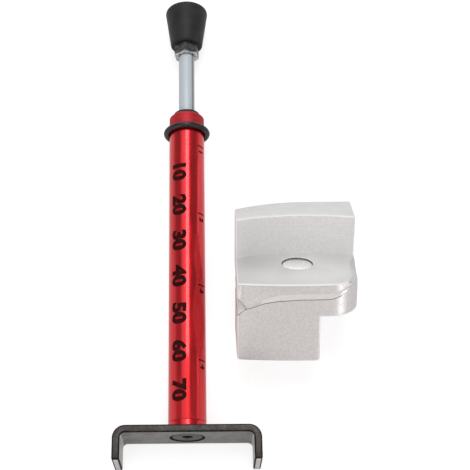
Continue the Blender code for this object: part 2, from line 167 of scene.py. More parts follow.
def makeWorld():
    # behind the object a pale panel stands between dark walls, which end in narrow bright strips,
    # and in front is a pale room
    sky = {
        "behind": (
            (0.0, 0.75), (0.07, 0.28), (0.20, 0.26), (0.26, 0.9), (0.42, 1.0), (0.58, 1.0), (0.66, 0.24),
            (0.93, 0.26), (0.955, 1.1), (0.985, 0.5), (1.0, 0.7),
        ),
        "before": (0.7, 0.665, 0.66), "beforeFrom": 0.12, "beforeTo": -0.3, "backdrop": 1.0,
    }
    world = bpy.data.worlds.new("studio")
    bpy.context.scene.world = world
    world.use_nodes = True
    nodes = world.node_tree.nodes
    walls = newNode(nodes, "ValToRGB")
    walls.color_ramp.interpolation = "EASE"
    stops = walls.color_ramp.elements
    while len(stops) < len(sky["behind"]):
        stops.new(0.5)
    for stop, (place, level) in zip(stops, sky["behind"]):
        stop.position = place
        stop.color = (level, level, level, 1)
    coordinates = newNode(nodes, "TexCoord")
    split = newNode(nodes, "SeparateXYZ")
    across = newNode(nodes, "MapRange", {"From Min": -1})
    limits = {"From Min": sky["beforeFrom"], "From Max": sky["beforeTo"]}
    before = newNode(nodes, "MapRange", limits, interpolation_type="SMOOTHSTEP")
    room = newNode(nodes, "Mix", {"B": (*sky["before"], 1)}, data_type="RGBA")
    path = newNode(nodes, "LightPath")
    choose = newNode(nodes, "Mix", {"B": (*[sky["backdrop"]] * 3, 1)}, data_type="RGBA")
    wire(coordinates, "Generated", split, 0)
    wire(split, "X", across, "Value")
    wire(across, "Result", walls, "Fac")
    wire(split, "Y", before, "Value")
    wire(before, "Result", room, "Factor")
    wire(walls, "Color", room, "A")
    wire(path, "Is Camera Ray", choose, "Factor")
    wire(room, "Result", choose, "A")
    wire(choose, "Result", nodes["Background"], "Color")


def softBox(name, place, width, length, radiance):
    # the box looks at the object, and its length runs along Y as far as its aim allows
    target = Vector((0.02, 0.07, 0.01))
    place = Vector(place)
    back = (place - target).normalized()
    side = Vector((0, 1, 0)).cross(back).normalized()
    along = back.cross(side)
    lamp = addShape(name, bpy.ops.object.light_add, type="AREA")
    lamp.data.shape = "RECTANGLE"
    lamp.data.size = width
    lamp.data.size_y = length
    lamp.data.energy = radiance * math.pi * width * length
    lamp.matrix_world = Matrix.Translation(place) @ Matrix((side, along, back)).transposed().to_4x4()
    lamp.visible_camera = False


def makeLamps():
    # each has its place, width and length in metres, and its radiance
    lamps = {
        "overheadBox": ((0.05, 0.43, 0.93), 0.32, 0.66, 3.4),
        "frontRightBox": ((0.68, -0.7, 0.15), 0.2, 0.26, 5.5),
        "frontLeftBox": ((-0.55, -0.75, 0.3), 0.26, 0.3, 2.5),
    }
    for name, look in lamps.items():
        softBox(name, *look)


makeCamera()
makeFloor()
makeWorld()
makeLamps()
bpy.context.scene.view_settings.view_transform = "Standard"
print("Stage ready")


# Shared shader effects

def newGroup(name, entries, leaves):
    # every use of a group gives all its inputs, so they need no values here
    group = bpy.data.node_groups.new(name, "ShaderNodeTree")
    for direction, sockets in (("INPUT", entries), ("OUTPUT", leaves)):
        for title, kind in sockets.items():
            kind = "NodeSocket" + kind
            group.interface.new_socket(name=title, in_out=direction, socket_type=kind)
    return group, group.nodes.new("NodeGroupInput"), group.nodes.new("NodeGroupOutput")


def makeGrainGroup():
    # fine grain: a mask that runs from 0 to 1, and a normal that follows it
    entries = {"Scale": "Float", "Stretch": "Vector", "Depth": "Float", "Softness": "Float"}
    group, entry, leave = newGroup("surfaceGrain", entries, {"Mask": "Float", "Normal": "Vector"})
    place = newNode(group.nodes, "TexCoord")
    stretch = newNode(group.nodes, "VectorMath", operation="MULTIPLY")
    noise = newNode(group.nodes, "TexNoise", {"Detail": 4.0})
    bump = newNode(group.nodes, "Bump", {"Distance": 0.1 * mm})
    wire(place, "Object", stretch, 0)
    wire(entry, "Stretch", stretch, 1)
    wire(stretch, 0, noise, "Vector")
    wire(entry, "Scale", noise, "Scale")
    wire(entry, "Softness", noise, "Roughness")
    wire(noise, "Fac", bump, "Height")
    wire(entry, "Depth", bump, "Strength")
    wire(noise, "Fac", leave, "Mask")
    wire(bump, "Normal", leave, "Normal")
    return group


def makeRangeGroup():
    # turns a mask into a value between two limits, with a soft step from one place to another
    limits = {"Mask": "Value", "From": "From Min", "Till": "From Max", "Low": "To Min", "High": "To Max"}
    group, entry, leave = newGroup("maskToRange", dict.fromkeys(limits, "Float"), {"Value": "Float"})
    span = newNode(group.nodes, "MapRange", interpolation_type="SMOOTHSTEP")
    for title, limit in limits.items():
        wire(entry, title, span, limit)
    wire(span, "Result", leave, "Value")
    return group


grainGroup = makeGrainGroup()
rangeGroup = makeRangeGroup()


def addGrain(nodes, scale, depth, stretch, softness):
    values = {"Scale": scale, "Depth": depth, "Stretch": stretch, "Softness": softness}
    return newNode(nodes, "Group", values, node_tree=grainGroup)


def addRange(nodes, source, output, low, high, start=0.35, till=0.65):
    values = {"From": start, "Till": till, "Low": low, "High": high}
    node = newNode(nodes, "Group", values, node_tree=rangeGroup)
    wire(source, output, node, "Mask")
    return node


# Finishes

def addPaintedShadeStripe(nodes, colour, paintedShadeStripe):
    # a stripe of painted shade: a darker colour between two places along a direction
    place = newNode(nodes, "TexCoord")
    across = newNode(nodes, "VectorMath", {1: paintedShadeStripe["across"]}, operation="DOT_PRODUCT")
    first, last, soft = paintedShadeStripe["from"], paintedShadeStripe["to"], paintedShadeStripe["soft"]
    wire(place, "Object", across, 0)
    rising = addRange(nodes, across, "Value", 0, 1, first - soft, first + soft)
    falling = addRange(nodes, across, "Value", 1, 0, last - soft, last + soft)
    both = newNode(nodes, "Math", operation="MULTIPLY")
    mix = newNode(nodes, "Mix", {"B": (*paintedShadeStripe["colour"], 1)}, data_type="RGBA")
    wire(rising, "Value", both, 0)
    wire(falling, "Value", both, 1)
    wire(both, 0, mix, "Factor")
    wire(colour, "Result", mix, "A")
    return mix


plainLook = {
    "metallic": 0.0, "specular": 0.5, "stretch": (1, 1, 1), "coat": 0, "coatRoughness": 0.05,
    "coatIor": 1.5, "sheen": 0, "sheenRoughness": 0.3, "coarseSoftness": 0.5, "fineSoftness": 0.6,
}


def grainyFinish(name, changes):
    # two tones in a coarse grain, with a roughness range and relief in a fine one
    look = {**plainLook, **changes}
    material, nodes, shader = newMaterial(name)
    setInputs(shader, {
        "Metallic": look["metallic"], "Specular IOR Level": look["specular"], "Coat Weight": look["coat"],
        "Coat Roughness": look["coatRoughness"], "Coat IOR": look["coatIor"],
        "Sheen Weight": look["sheen"], "Sheen Roughness": look["sheenRoughness"],
    })
    coarseScale, fineScale, depth = look["grain"]
    coarse = addGrain(nodes, coarseScale, 0, look["stretch"], look["coarseSoftness"])
    fine = addGrain(nodes, fineScale, depth, look["stretch"], look["fineSoftness"])
    tone = addRange(nodes, coarse, "Mask", 0, 1)
    tones = {entry: (*mixed, 1) for entry, mixed in zip("AB", look["tones"])}
    colour = newNode(nodes, "Mix", tones, data_type="RGBA")
    wire(tone, "Value", colour, "Factor")
    if "paintedShadeStripe" in look:
        colour = addPaintedShadeStripe(nodes, colour, look["paintedShadeStripe"])
    rough = addRange(nodes, fine, "Mask", *look["rough"])
    wire(colour, "Result", shader, "Base Color")
    wire(rough, "Value", shader, "Roughness")
    wire(fine, "Normal", shader, "Normal")
    return material


blockLean = math.radians(45)

# grain is a coarse scale, a fine scale and a relief, and rough is the smoothest and the roughest
finishLooks = {
    "redAnodised": {
        "tones": ((0.78, 0.007, 0.014), (0.86, 0.013, 0.022)), "metallic": 1.0,
        "grain": (90, 900, 0.12), "rough": (0.22, 0.34), "stretch": (1, 0.12, 1),
        "coat": 0.75, "coatIor": 1.6,
    },
    # painted shade: near-black for the upper half of the tube's red chamfer, standing for the shadow under
    # the bush's rim
    "chamferPaintedShade": {
        "tones": ((0.02, 0.006, 0.006), (0.04, 0.008, 0.008)), "metallic": 0.3,
        "grain": (300, 1400, 0.12), "rough": (0.5, 0.6), "specular": 0.2,
    },
    "redTurned": {
        "tones": ((0.52, 0.025, 0.036), (0.6, 0.036, 0.05)), "metallic": 0.6,
        "grain": (400, 1600, 0.2), "rough": (0.5, 0.62), "stretch": (1, 3, 1),
    },
    "printInk": {
        "tones": ((0.03, 0.004, 0.003), (0.05, 0.007, 0.006)),
        "grain": (400, 2600, 0.15), "rough": (0.5, 0.65), "specular": 0.05,
    },
    "cradleCoat": {
        "tones": ((0.036, 0.032, 0.03), (0.06, 0.054, 0.05)), "metallic": 0.5,
        "grain": (220, 1600, 0.25), "rough": (0.34, 0.52),
    },
    # painted shade: near-black for the bracket's bevelled edges, its countersink and the screw's socket,
    # standing for dark reflections and shade there
    "cradleEdgePaintedShade": {
        "tones": ((0.004, 0.004, 0.004), (0.03, 0.027, 0.024)),
        "grain": (700, 2000, 0.3), "rough": (0.5, 0.65), "specular": 0.12,
    },
    # painted light: lighter copies of the black coat, for faces that face down and for the legs' inner
    # sides and tips, which catch the pale floor's light
    "cradleUnderPaintedLight": {
        "tones": ((0.2, 0.19, 0.185), (0.27, 0.26, 0.255)), "metallic": 0.5,
        "grain": (220, 1600, 0.25), "rough": (0.34, 0.52),
    },
    "cradleLegPaintedLight": {
        "tones": ((0.6, 0.59, 0.58), (0.7, 0.69, 0.68)), "metallic": 0.4,
        "grain": (320, 1600, 0.25), "rough": (0.36, 0.52),
    },
    "screwBlack": {
        "tones": ((0.06, 0.055, 0.05), (0.1, 0.092, 0.085)), "metallic": 0.7,
        "grain": (500, 2400, 0.12), "rough": (0.3, 0.45),
    },
    "bushNylon": {
        "tones": ((0.02, 0.02, 0.02), (0.03, 0.03, 0.03)),
        "grain": (500, 2600, 0.1), "rough": (0.42, 0.55),
    },
    "ringRubber": {
        "tones": ((0.008, 0.008, 0.008), (0.018, 0.018, 0.018)),
        "grain": (300, 2200, 0.1), "rough": (0.2, 0.32),
    },
    "knobRubber": {
        "tones": ((0.014, 0.014, 0.015), (0.022, 0.022, 0.023)),
        "grain": (260, 2000, 0.16), "rough": (0.5, 0.62), "specular": 0.36, "sheen": 0.3,
    },
    "rodPlating": {
        "tones": ((0.6, 0.66, 0.71), (0.66, 0.72, 0.77)), "metallic": 0.25,
        "grain": (120, 1500, 0.08), "rough": (0.5, 0.6), "stretch": (1, 0.06, 1),
        # painted shade: a grey stripe down the rod's right side, where it turns from the light
        "paintedShadeStripe": {
            "across": (1, 0, 0), "from": 1.8 * mm, "to": 2.4 * mm, "soft": 0.15 * mm,
            "colour": (0.3, 0.31, 0.32),
        },
    },
    "nutPlating": {
        "tones": ((0.1, 0.1, 0.095), (0.22, 0.22, 0.21)), "metallic": 0.9,
        "grain": (500, 2200, 0.2), "rough": (0.26, 0.42),
    },
    "nutTurned": {
        "tones": ((0.5, 0.5, 0.48), (0.8, 0.8, 0.77)), "metallic": 0.85,
        "grain": (700, 2200, 0.35), "rough": (0.3, 0.45),
    },
    "blockBlasted": {
        "tones": ((0.74, 0.72, 0.715), (0.82, 0.8, 0.795)), "metallic": 0.85,
        "grain": (1500, 3000, 0.4), "rough": (0.36, 0.48),
    },
    "blockSmooth": {
        "tones": ((0.88, 0.88, 0.88), (0.92, 0.92, 0.92)), "metallic": 0.85,
        "grain": (90, 1600, 0.06), "rough": (0.44, 0.5),
        # painted shade: the ledge darkens towards the wall's foot, where the wall shades it
        "paintedShadeStripe": {
            "across": (0, math.cos(blockLean), -math.sin(blockLean)), "from": 16 * mm, "to": 90 * mm,
            "soft": 8 * mm, "colour": (0.74, 0.74, 0.74),
        },
    },
    # painted highlight: near-white and not metallic, for the block's bevelled edges, its left side and the
    # notch's inside
    "blockPaintedHighlight": {
        "tones": ((0.97, 0.97, 0.97), (0.99, 0.99, 0.99)),
        "grain": (900, 1600, 0.05), "rough": (0.45, 0.5),
    },
    # painted shade for the crease line, the lip's underside, the magnet pocket's wall and the notch's rim
    "creaseShade": {
        "tones": ((0.2, 0.195, 0.19), (0.28, 0.27, 0.265)), "metallic": 0.6,
        "grain": (400, 2600, 0.2), "rough": (0.45, 0.6),
    },
    "blockBrushed": {
        "tones": ((0.84, 0.845, 0.84), (0.92, 0.925, 0.92)), "metallic": 0.85,
        "grain": (2600, 3200, 0.45), "rough": (0.32, 0.48), "stretch": (0.5, 1, 1),
    },
    # painted light: the ledge's finish a little lighter, for the wall's top, which nothing shades
    "blockTopPaintedLight": {
        "tones": ((0.9, 0.9, 0.895), (0.94, 0.94, 0.935)), "metallic": 0.85,
        "grain": (300, 1600, 0.06), "rough": (0.44, 0.5),
    },
    "magnetPlating": {
        "tones": ((0.93, 0.93, 0.92), (0.96, 0.96, 0.95)), "metallic": 0.8,
        "grain": (120, 3000, 0.005), "rough": (0.22, 0.3),
    },
    "innerSteel": {
        "tones": ((0.5, 0.5, 0.49), (0.62, 0.62, 0.61)), "metallic": 1.0,
        "grain": (300, 1500, 0.1), "rough": (0.22, 0.38),
    },
    "turnedBrass": {
        "tones": ((0.66, 0.48, 0.2), (0.75, 0.58, 0.28)), "metallic": 1.0,
        "grain": (300, 1500, 0.1), "rough": (0.22, 0.36),
    },
}
finishes = {name: grainyFinish(name, look) for name, look in finishLooks.items()}
print("Finishes ready")


# Modelling helpers

sharpAngle = 30  # in degrees, past which an edge is softened and shades as an edge


def pickOnly(piece):
    bpy.ops.object.select_all(action="DESELECT")
    piece.select_set(True)
    bpy.context.view_layer.objects.active = piece


def startEdit(piece, mode="VERT"):
    pickOnly(piece)
    bpy.ops.object.mode_set(mode="EDIT")
    bpy.ops.mesh.select_mode(type=mode)


def editAll(piece):
    startEdit(piece)
    bpy.ops.mesh.select_all(action="SELECT")


def endEdit():
    bpy.ops.object.mode_set(mode="OBJECT")


def editPicked(piece, mode, wanted):
    # goes into edit mode with the wanted faces or edges picked
    startEdit(piece, mode)
    bpy.ops.mesh.select_all(action="DESELECT")
    endEdit()
    parts = piece.data.polygons if mode == "FACE" else piece.data.edges
    for part in parts:
        part.select = wanted(part)
    startEdit(piece, mode)


def applyModifiers(piece):
    pickOnly(piece)
    for modifier in list(piece.modifiers):
        bpy.ops.object.modifier_apply(modifier=modifier.name)


def applyPlace(piece):
    pickOnly(piece)
    bpy.ops.object.transform_apply(location=True, rotation=True, scale=True)


def smoothShade(piece, angle=sharpAngle):
    pickOnly(piece)
    bpy.ops.object.shade_smooth_by_angle(angle=math.radians(angle))


def faceOutwards(piece):
    editAll(piece)
    bpy.ops.mesh.remove_doubles(threshold=speck / 10)
    bpy.ops.mesh.normals_make_consistent(inside=False)
    endEdit()


def softenEdges(piece, width, segments=3, angle=sharpAngle):
    bevel = piece.modifiers.new("softEdges", "BEVEL")
    bevel.width = width
    bevel.segments = segments
    bevel.limit_method = "ANGLE"
    bevel.angle_limit = math.radians(angle)
    applyModifiers(piece)


def softenByRule(piece, widthOf, material, clamp=True, segments=4):
    # each sharp edge gets its own width, from a rule that is given its middle
    sharp = math.cos(math.radians(sharpAngle))
    mesh = piece.data
    beside = {}
    for face in mesh.polygons:
        for key in face.edge_keys:
            beside.setdefault(key, []).append(face.normal)
    widths = []
    for edge in mesh.edges:
        normals = beside[tuple(sorted(edge.vertices))]
        middle = (mesh.vertices[edge.vertices[0]].co + mesh.vertices[edge.vertices[1]].co) / 2
        isSharp = len(normals) == 2 and normals[0].dot(normals[1]) < sharp
        widths.append(widthOf(middle) if isSharp else 0)
    widest = max(widths)
    weights = mesh.attributes.new("bevel_weight_edge", "FLOAT", "EDGE")
    weights.data.foreach_set("value", [width / widest for width in widths])
    bevel = piece.modifiers.new("softEdges", "BEVEL")
    bevel.width = widest
    bevel.segments = segments
    bevel.limit_method = "WEIGHT"
    bevel.use_clamp_overlap = clamp
    bevel.material = material
    applyModifiers(piece)


def combine(piece, tool, operation="DIFFERENCE"):
    boolean = piece.modifiers.new("combine", "BOOLEAN")
    boolean.operation = operation
    boolean.solver = "EXACT"
    boolean.material_mode = "TRANSFER"
    boolean.object = tool
    applyModifiers(piece)
    bpy.data.objects.remove(tool)


def spunPiece(name, rings, sides, closed=False):
    # a ring of points is pulled up its profile and widened at each step, as on a lathe
    startsAtPole = rings[0][0] == 0
    steps = rings[1:] if startsAtPole else rings
    width, station = steps[0]
    circle = bpy.ops.mesh.primitive_circle_add
    piece = addShape(name, circle, vertices=sides, radius=width, location=(0, 0, station))
    applyPlace(piece)
    editAll(piece)
    rest = steps[1:] + ([steps[0]] if closed else [])
    for radius, height in rest:
        bpy.ops.mesh.extrude_edges_move(TRANSFORM_OT_translate={"value": (0, 0, height - station)})
        if radius == 0:
            bpy.ops.mesh.merge(type="CENTER")
        else:
            share = radius / width
            bpy.ops.transform.resize(value=(share, share, 1), center_override=(0, 0, height))
            width = radius
        station = height
    if startsAtPole:
        bpy.ops.mesh.select_all(action="DESELECT")
        bpy.ops.mesh.select_non_manifold()
        drop = rings[0][1] - steps[0][1]
        bpy.ops.mesh.extrude_edges_move(TRANSFORM_OT_translate={"value": (0, 0, drop)})
        bpy.ops.mesh.merge(type="CENTER")
    endEdit()
    faceOutwards(piece)
    return piece


def turnedPiece(name, rings, look, closed=False):
    piece = spunPiece(name, rings, look["sides"], closed)
    softenEdges(piece, look["edge"])
    smoothShade(piece)
    return piece


def hexPrism(name, across, low, high):
    return addShape(
        name, bpy.ops.mesh.primitive_cylinder_add, vertices=6, radius=across / 2 / math.cos(math.pi / 6),
        depth=high - low, location=(0, 0, (low + high) / 2),
    )


def slab(name, outline, *levels):
    # one point is drawn round the outline, then the filled shape is pulled up level by level
    place = (*outline[0], levels[0])
    piece = addShape(name, bpy.ops.mesh.primitive_plane_add, size=mm, location=place)
    applyPlace(piece)
    editAll(piece)
    bpy.ops.mesh.merge(type="CENTER")
    for (fromX, fromY), (toX, toY) in zip(outline, outline[1:]):
        step = (toX - fromX, toY - fromY, 0)
        bpy.ops.mesh.extrude_region_move(TRANSFORM_OT_translate={"value": step})
    bpy.ops.mesh.select_all(action="SELECT")
    bpy.ops.mesh.edge_face_add()
    for low, high in zip(levels, levels[1:]):
        bpy.ops.mesh.extrude_region_move(TRANSFORM_OT_translate={"value": (0, 0, high - low)})
    endEdit()
    faceOutwards(piece)
    return piece


def arc(middle, radius, first, last, steps):
    points = []
    for step in range(steps + 1):
        angle = first + (last - first) * step / steps
        points.append((middle[0] + radius * math.cos(angle), middle[1] + radius * math.sin(angle)))
    return points


def coat(piece, *names):
    # slots are filled by place, so faces keep the slots they were given
    slots = piece.data.materials
    for place, name in enumerate(names):
        if place < len(slots):
            slots[place] = finishes[name]
        else:
            slots.append(finishes[name])


def finishPiece(piece, body, slotName, nodes, *names):
    coat(piece, *names)
    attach(piece, body)
    if nodes:
        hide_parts(*nodes)


def alongTube(piece):
    # from an upright axis to the tube's, which points along +Y
    piece.rotation_euler = (-quarterTurn, 0, 0)
    piece.location = (tubeAxis.x, 0, tubeAxis.z)
    applyPlace(piece)


def finishAlong(piece, body, slotName, node, *names):
    alongTube(piece)
    finishPiece(piece, body, slotName, [node], *names)


# Tube and plug

tubeLook = {
    "sides": 192, "edge": 0.1 * mm, "joint": 0.04 * mm, "wall": 1.0 * mm, "neckHole": 3.55 * mm,
    "turned": 4.4 * mm, "shadeShare": 0.5, "fullShare": 0.999,
}


def chamferFoot():
    # the highest station at which the tube still has its full radius
    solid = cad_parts["tube"]
    points = [solid.matrix_world @ vertex.co for vertex in solid.data.vertices]
    edge = tubeRadius * tubeLook["fullShare"]
    return max(p.y for p in points if math.hypot(p.x - tubeAxis.x, p.z - tubeAxis.z) > edge)


def makeTube():
    look = tubeLook
    low = nodeLow("tube") - seatGap + look["joint"]
    high = nodeHigh("tube")
    foot = chamferFoot()
    chamfer = high - foot
    shade = chamfer * look["shadeShare"]
    bore = tubeRadius - look["wall"]
    neckUnder = nodeLow("guide_bush")
    rings = [
        (bore, low), (tubeRadius, low), (tubeRadius, foot - look["turned"]), (tubeRadius, foot),
        (tubeRadius - shade, foot + shade), (tubeRadius - chamfer, high), (look["neckHole"], high),
        (look["neckHole"], neckUnder), (bore, neckUnder),
    ]
    tube = turnedPiece("tubeShell", rings, look, closed=True)
    coat(tube, "redAnodised", "chamferPaintedShade", "redTurned")
    # the chamfer's upper half takes the painted shade, and the zone below it takes the turned finish
    for face in tube.data.polygons:
        above = face.center.z - foot
        outward = face.center.x * face.normal.x + face.center.y * face.normal.y > 0
        if outward and above > shade:
            face.material_index = 1
        elif outward and above > -look["turned"]:
            face.material_index = 2
    finishAlong(tube, "gauge_body", "red_anodised", "tube")


def makePlug():
    look = {"seat": 0.02 * mm, "bore": 2.7 * mm, "step": 1.1 * mm}
    low = nodeHigh("cradle") + look["seat"]
    top = nodeHigh("end_plug")
    flangeTop = nodeLow("tube") - seatGap
    spigot = nodeRadius("end_plug") - look["step"]
    rings = [
        (look["bore"], low), (tubeRadius, low), (tubeRadius, flangeTop), (spigot, flangeTop),
        (spigot, top), (look["bore"], top),
    ]
    plug = turnedPiece("plugCap", rings, tubeLook, closed=True)
    finishAlong(plug, "gauge_body", "red_anodised", "end_plug", "redAnodised")


makeTube()
makePlug()
print("Tube and plug done")


# Printed scale

scaleLook = {
    "first": 95.3 * mm, "pitch": 12.7 * mm, "count": 7, "height": 5.35 * mm, "bold": 0.055,
    "middle": -3.0 * mm, "thick": 0.03 * mm, "strips": 26, "wide": 1.08, "curveSteps": 6,
    "smallHeight": 2.1 * mm, "smallMiddle": 5.6 * mm, "tickWidth": 0.42 * mm, "tickLength": 3.2 * mm,
    "smallFirst": 98.8 * mm, "smallPitch": 25.4 * mm, "smallCount": 4,
}


def printedWord(body, height, middle, station):
    # read down the tube, with the tops of the figures to the right
    word = addShape("printedWord", bpy.ops.object.text_add, location=(0, 0, 0))
    word.data.body = body
    word.data.align_x = "CENTER"
    word.data.align_y = "CENTER"
    word.data.offset = scaleLook["bold"]
    word.data.resolution_u = scaleLook["curveSteps"]
    word.data.size = 1
    pickOnly(word)
    bpy.ops.object.convert(target="MESH")
    word = bpy.context.active_object
    heights = [vertex.co.y for vertex in word.data.vertices]
    size = height / (max(heights) - min(heights))
    word.scale = (size * scaleLook["wide"], size, 1)
    word.rotation_euler = (0, 0, -quarterTurn)
    word.location = (middle, station, 0)
    applyPlace(word)
    return word


def printedBar(across, station, length, width):
    place = (across, station, 0)
    bar = addShape("printedBar", bpy.ops.mesh.primitive_plane_add, size=1, location=place)
    bar.scale = (length, width, 1)
    applyPlace(bar)
    return bar


def makeScale():
    look = scaleLook
    prints = []
    for index in range(look["count"]):
        station = look["first"] - look["pitch"] * (index + 0.5)
        prints.append(printedWord(str(10 * (index + 1)), look["height"], look["middle"], station))
    for index in range(look["smallCount"]):
        station = look["smallFirst"] - look["smallPitch"] * index
        below = station - look["smallHeight"]
        prints.append(printedBar(look["smallMiddle"], station, look["tickLength"], look["tickWidth"]))
        prints.append(printedWord(str(index + 1), look["smallHeight"], look["smallMiddle"], below))
    pickOnly(prints[0])
    for piece in prints:
        piece.select_set(True)
    bpy.ops.object.join()
    marks = bpy.context.active_object
    marks.name = "printedScale"
    reach = tubeRadius * math.pi / 2
    for strip in range(1, look["strips"] * 2):
        editAll(marks)
        across = -reach + reach * strip / look["strips"]
        bpy.ops.mesh.bisect(plane_co=(across, 0, 0), plane_no=(1, 0, 0))
        endEdit()
    # the flat print is wrapped round the tube
    outside = tubeRadius + look["thick"]
    for vertex in marks.data.vertices:
        turn = vertex.co.x / tubeRadius
        station = vertex.co.y
        vertex.co = (outside * math.sin(turn), station, tubeAxis.z + outside * math.cos(turn))
    editAll(marks)
    bpy.ops.mesh.remove_doubles(threshold=speck)
    endEdit()
    smoothShade(marks)
    finishPiece(marks, "gauge_body", None, [], "printInk")


makeScale()
print("Scale printed")


# Cradle and its screw

cradleLook = {
    "bendSteps": 14, "tipRadius": 0.5 * mm, "edge": 0.42 * mm, "innerBend": 1.6 * mm,
    "mouth": 5.6 * mm, "mouthSides": 96, "over": 1 * mm, "innerSide": 0.12 * mm, "facing": 0.6,
}


def cradleOutline():
    low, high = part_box("cradle")
    thick = 2 * high.y
    outer = high.x
    inner = outer - thick
    bend = cradleLook["innerBend"]
    steps = cradleLook["bendSteps"]
    right = (inner - bend, -high.y - bend)
    left = (-right[0], right[1])
    outline = [(outer, low.y)]
    outline += arc(right, bend + thick, 0, quarterTurn, steps)
    outline += arc(left, bend + thick, quarterTurn, math.pi, steps)
    outline += [(-outer, low.y), (-inner, low.y)]
    outline += arc(left, bend, math.pi, quarterTurn, steps)
    outline += arc(right, bend, quarterTurn, 0, steps)
    outline += [(inner, low.y)]
    return outline


def makeCradle():
    look = cradleLook
    low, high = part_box("cradle")
    thick = 2 * high.y
    under = -high.y
    cradle = slab("cradleBracket", cradleOutline(), low.z, high.z)

    def widthOf(middle):
        return look["tipRadius"] if middle.y < low.y + hair else look["edge"]

    # the bevels take slot 1, painted shade along the bracket's edges
    coat(cradle, "cradleCoat", "cradleEdgePaintedShade")
    softenByRule(cradle, widthOf, 1)
    over = look["over"]
    mouth = look["mouth"]
    cone = [
        (0, under - over), (mouth + over, under - over),
        (mouth - thick - over, high.y + over), (0, high.y + over),
    ]
    cutter = spunPiece("countersink", cone, look["mouthSides"])
    # the countersink is painted shade
    coat(cutter, "cradleEdgePaintedShade")
    alongTube(cutter)
    combine(cradle, cutter)
    smoothShade(cradle)
    # faces that face down, and the legs' inner sides and tips, get the lighter painted-light copies of the
    # coat
    coat(cradle, "cradleCoat", "cradleEdgePaintedShade", "cradleUnderPaintedLight", "cradleLegPaintedLight")
    inner = high.x - thick + look["innerSide"]
    for face in cradle.data.polygons:
        if face.material_index:
            continue
        facesIn = abs(face.center.x) < inner and face.center.x * face.normal.x < 0
        facesDown = face.normal.y < -look["facing"]
        atTip = face.center.y < low.y + thick / 2
        if facesDown and atTip or not facesDown and facesIn and abs(face.normal.x) > look["facing"]:
            face.material_index = 3
        elif facesDown:
            face.material_index = 2
    finishPiece(cradle, "gauge_body", "cradle_black", ["cradle"])


def makeCradleScrew():
    look = {
        "sides": 96, "edge": 0.12 * mm, "land": 0.2 * mm, "shank": 2.5 * mm,
        "socketAcross": 3.1 * mm, "socketDepth": 1.8 * mm, "socketLead": 0.12 * mm,
        "inset": 0.25 * mm, "over": 0.5 * mm, "toolSides": 48,
    }
    head = nodeLow("cradle_screw")
    tip = nodeHigh("cradle_screw")
    headRadius = nodeRadius("cradle_screw") - look["inset"]
    coneTop = head + look["land"] + headRadius - look["shank"]
    rings = [
        (0, head), (headRadius, head), (headRadius, head + look["land"]), (look["shank"], coneTop),
        (look["shank"], tip), (0, tip),
    ]
    screw = spunPiece("cradleScrewHead", rings, look["sides"])
    coat(screw, "screwBlack")
    softenEdges(screw, look["edge"])
    cutSocket(screw, look, head)
    smoothShade(screw)
    finishAlong(screw, "gauge_body", "screw_black", "cradle_screw", "screwBlack", "cradleEdgePaintedShade")


def cutSocket(piece, look, face):
    over = look["over"]
    lead = look["socketLead"]
    corner = look["socketAcross"] / 2 / math.cos(math.pi / 6)
    hexagon = hexPrism("socketTool", look["socketAcross"], face - over, face + look["socketDepth"])
    applyPlace(hexagon)
    # the socket's inside is painted shade
    coat(hexagon, "cradleEdgePaintedShade")
    combine(piece, hexagon)
    cone = [
        (0, face - over), (corner + lead + over, face - over),
        (corner - lead, face + lead * 2), (0, face + lead * 2),
    ]
    leadTool = spunPiece("socketLead", cone, look["toolSides"])
    coat(leadTool, "screwBlack")
    combine(piece, leadTool)


makeCradle()
makeCradleScrew()
print("Cradle done")


# Bush, travel ring and rod

def makeBush():
    look = {
        "sides": 128, "edge": 0.1 * mm, "seat": 0.02 * mm, "bore": 2.85 * mm, "barrel": 3.45 * mm,
        "proud": 0.35 * mm,
    }
    seat = nodeHigh("tube") + look["seat"]
    low = nodeLow("guide_bush")
    high = nodeHigh("guide_bush")
    flange = nodeRadius("guide_bush") + look["proud"]
    rings = [
        (look["bore"], low), (look["barrel"], low), (look["barrel"], seat), (flange, seat),
        (flange, high), (look["bore"], high),
    ]
    bush = turnedPiece("rodBush", rings, look, closed=True)
    finishAlong(bush, "gauge_body", "bush_nylon", "guide_bush", "bushNylon")


def makeTravelRing():
    look = {"sides": 192, "cordSides": 40, "ridge": 0.03 * mm, "grip": 0.01 * mm, "shadeAngle": 60}
    low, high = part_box("travel_ring")
    outer = (high.x - low.x) / 2
    cord = (outer - tubeRadius + look["grip"] + look["ridge"]) / 2
    middle = outer - cord
    station = (low.y + high.y) / 2
    ring = addShape(
        "markerRing", bpy.ops.mesh.primitive_torus_add,
        major_segments=look["sides"], minor_segments=look["cordSides"],
        major_radius=middle, minor_radius=cord - look["ridge"], location=(0, 0, station),
    )
    applyPlace(ring)
    # the mould's parting line is a fine ridge round the outside
    outside = middle + cord - look["ridge"]
    for vertex in ring.data.vertices:
        vertex.select = math.hypot(vertex.co.x, vertex.co.y) > outside - speck
    for edge in ring.data.edges:
        edge.select = all(ring.data.vertices[index].select for index in edge.vertices)
    for face in ring.data.polygons:
        face.select = False
    startEdit(ring)
    grow = (outside + look["ridge"]) / outside
    bpy.ops.transform.resize(value=(grow, grow, 1), center_override=(0, 0, station))
    endEdit()
    smoothShade(ring, look["shadeAngle"])
    finishAlong(ring, "ring", "ring_rubber", "travel_ring", "ringRubber")


